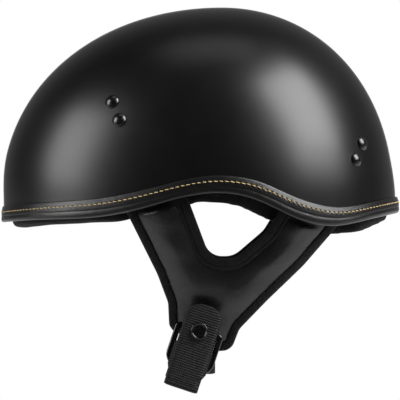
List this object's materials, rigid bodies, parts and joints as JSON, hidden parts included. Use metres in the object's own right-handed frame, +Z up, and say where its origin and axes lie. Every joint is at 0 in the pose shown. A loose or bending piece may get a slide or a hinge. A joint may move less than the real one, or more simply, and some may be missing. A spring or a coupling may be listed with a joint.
{
  "type": "half shell motorcycle helmet",
  "caption": "Half shell motorcycle helmet with a stitched rim trim, padded side panels and a chin strap closed by D-rings and a snap.",
  "frame": {"origin": "middle of the head opening, on the helmet's centre plane, halfway between brow and nape", "axes": "+Z up to the crown, the brow faces -X, the wearer's left side is -Y"},
  "size_m": [0.2838, 0.2236, 0.2704],
  "materials": {
    "shell_paint": "satin black",
    "trim_leather": "satin leatherette",
    "rivet_black": "gloss black",
    "washer_steel": "plain",
    "liner_foam": "moulded bead foam",
    "comfort_knit": "knit",
    "panel_leather": "satin leatherette",
    "binding_knit": "bound knit edge",
    "padding_foam": "soft foam",
    "webbing": "ribbed woven webbing",
    "ring_black": "gloss black",
    "snap_black": "gloss black",
    "snap_steel": "plain"
  },
  "bodies": {
    "shell": {"outer_shell": "shell_paint", "edge_trim": "trim_leather", "impact_liner": "liner_foam", "brow_roll": "comfort_knit", "nape_roll": "comfort_knit", "left_ear_pad": "comfort_knit", "right_ear_pad": "comfort_knit", "crown_pad": "comfort_knit", "shell_rivets": "rivet_black", "rivet_washers": "washer_steel", "front_left_strap": "webbing", "front_right_strap": "webbing", "rear_left_strap": "webbing", "rear_right_strap": "webbing"},
    "left_side": {"left_panel_face": "panel_leather", "left_strap_web": "webbing", "left_panel_padding": "padding_foam", "left_panel_lining": "comfort_knit", "left_outer_binding": "binding_knit", "left_window_binding": "binding_knit"},
    "right_side": {"right_panel_face": "panel_leather", "right_strap_web": "webbing", "right_panel_padding": "padding_foam", "right_panel_lining": "comfort_knit", "right_outer_binding": "binding_knit", "right_window_binding": "binding_knit"},
    "chin_strap": {"anchor_loop": "webbing", "chin_strap": "webbing", "snap_stud": "snap_steel"},
    "d_ring_front": {"d_ring_front": "ring_black"},
    "d_ring_rear": {"d_ring_rear": "ring_black"},
    "snap_tab": {"snap_tab": "webbing", "snap_cap": "snap_black", "snap_socket": "snap_steel"}
  },
  "joints": [
    {"name": "left_side_sway", "type": "hinge", "parent": "shell", "child": "left_side", "pos_m": [0.02, -0.0909, -0.0045], "axis": [0.9915, 0.0821, -0.1009], "range_deg": [-6, 6]},
    {"name": "right_side_sway", "type": "hinge", "parent": "shell", "child": "right_side", "pos_m": [0.02, 0.0909, -0.0045], "axis": [0.9915, -0.0821, -0.1009], "range_deg": [-4.2, 4.2]},
    {"name": "chin_strap_sway", "type": "hinge", "parent": "left_side", "child": "chin_strap", "pos_m": [0.00246, -0.07265, -0.08286], "axis": [1, 0, 0], "range_deg": [-8, 8]},
    {"name": "front_ring_tilt", "type": "hinge", "parent": "chin_strap", "child": "d_ring_front", "pos_m": [-0.0004, -0.0784, -0.0914], "axis": [0.9483, 0, -0.3173], "range_deg": [-2, 2]},
    {"name": "rear_ring_tilt", "type": "hinge", "parent": "chin_strap", "child": "d_ring_rear", "pos_m": [-0.0004, -0.0752, -0.0914], "axis": [0.9483, 0, -0.3173], "range_deg": [-2, 2]},
    {"name": "snap_tab_fold", "type": "hinge", "parent": "chin_strap", "child": "snap_tab", "pos_m": [-0.0119, -0.08515, -0.12578], "axis": [0.9483, 0, -0.3173], "range_deg": [0, 100]}
  ],
  "couplings": [
    {"joint": "right_side_sway", "follows": "left_side_sway", "ratio": 0.676},
    {"joint": "chin_strap_sway", "follows": "left_side_sway", "ratio": -1.297},
    {"joint": "rear_ring_tilt", "follows": "front_ring_tilt", "ratio": 1}
  ]
}
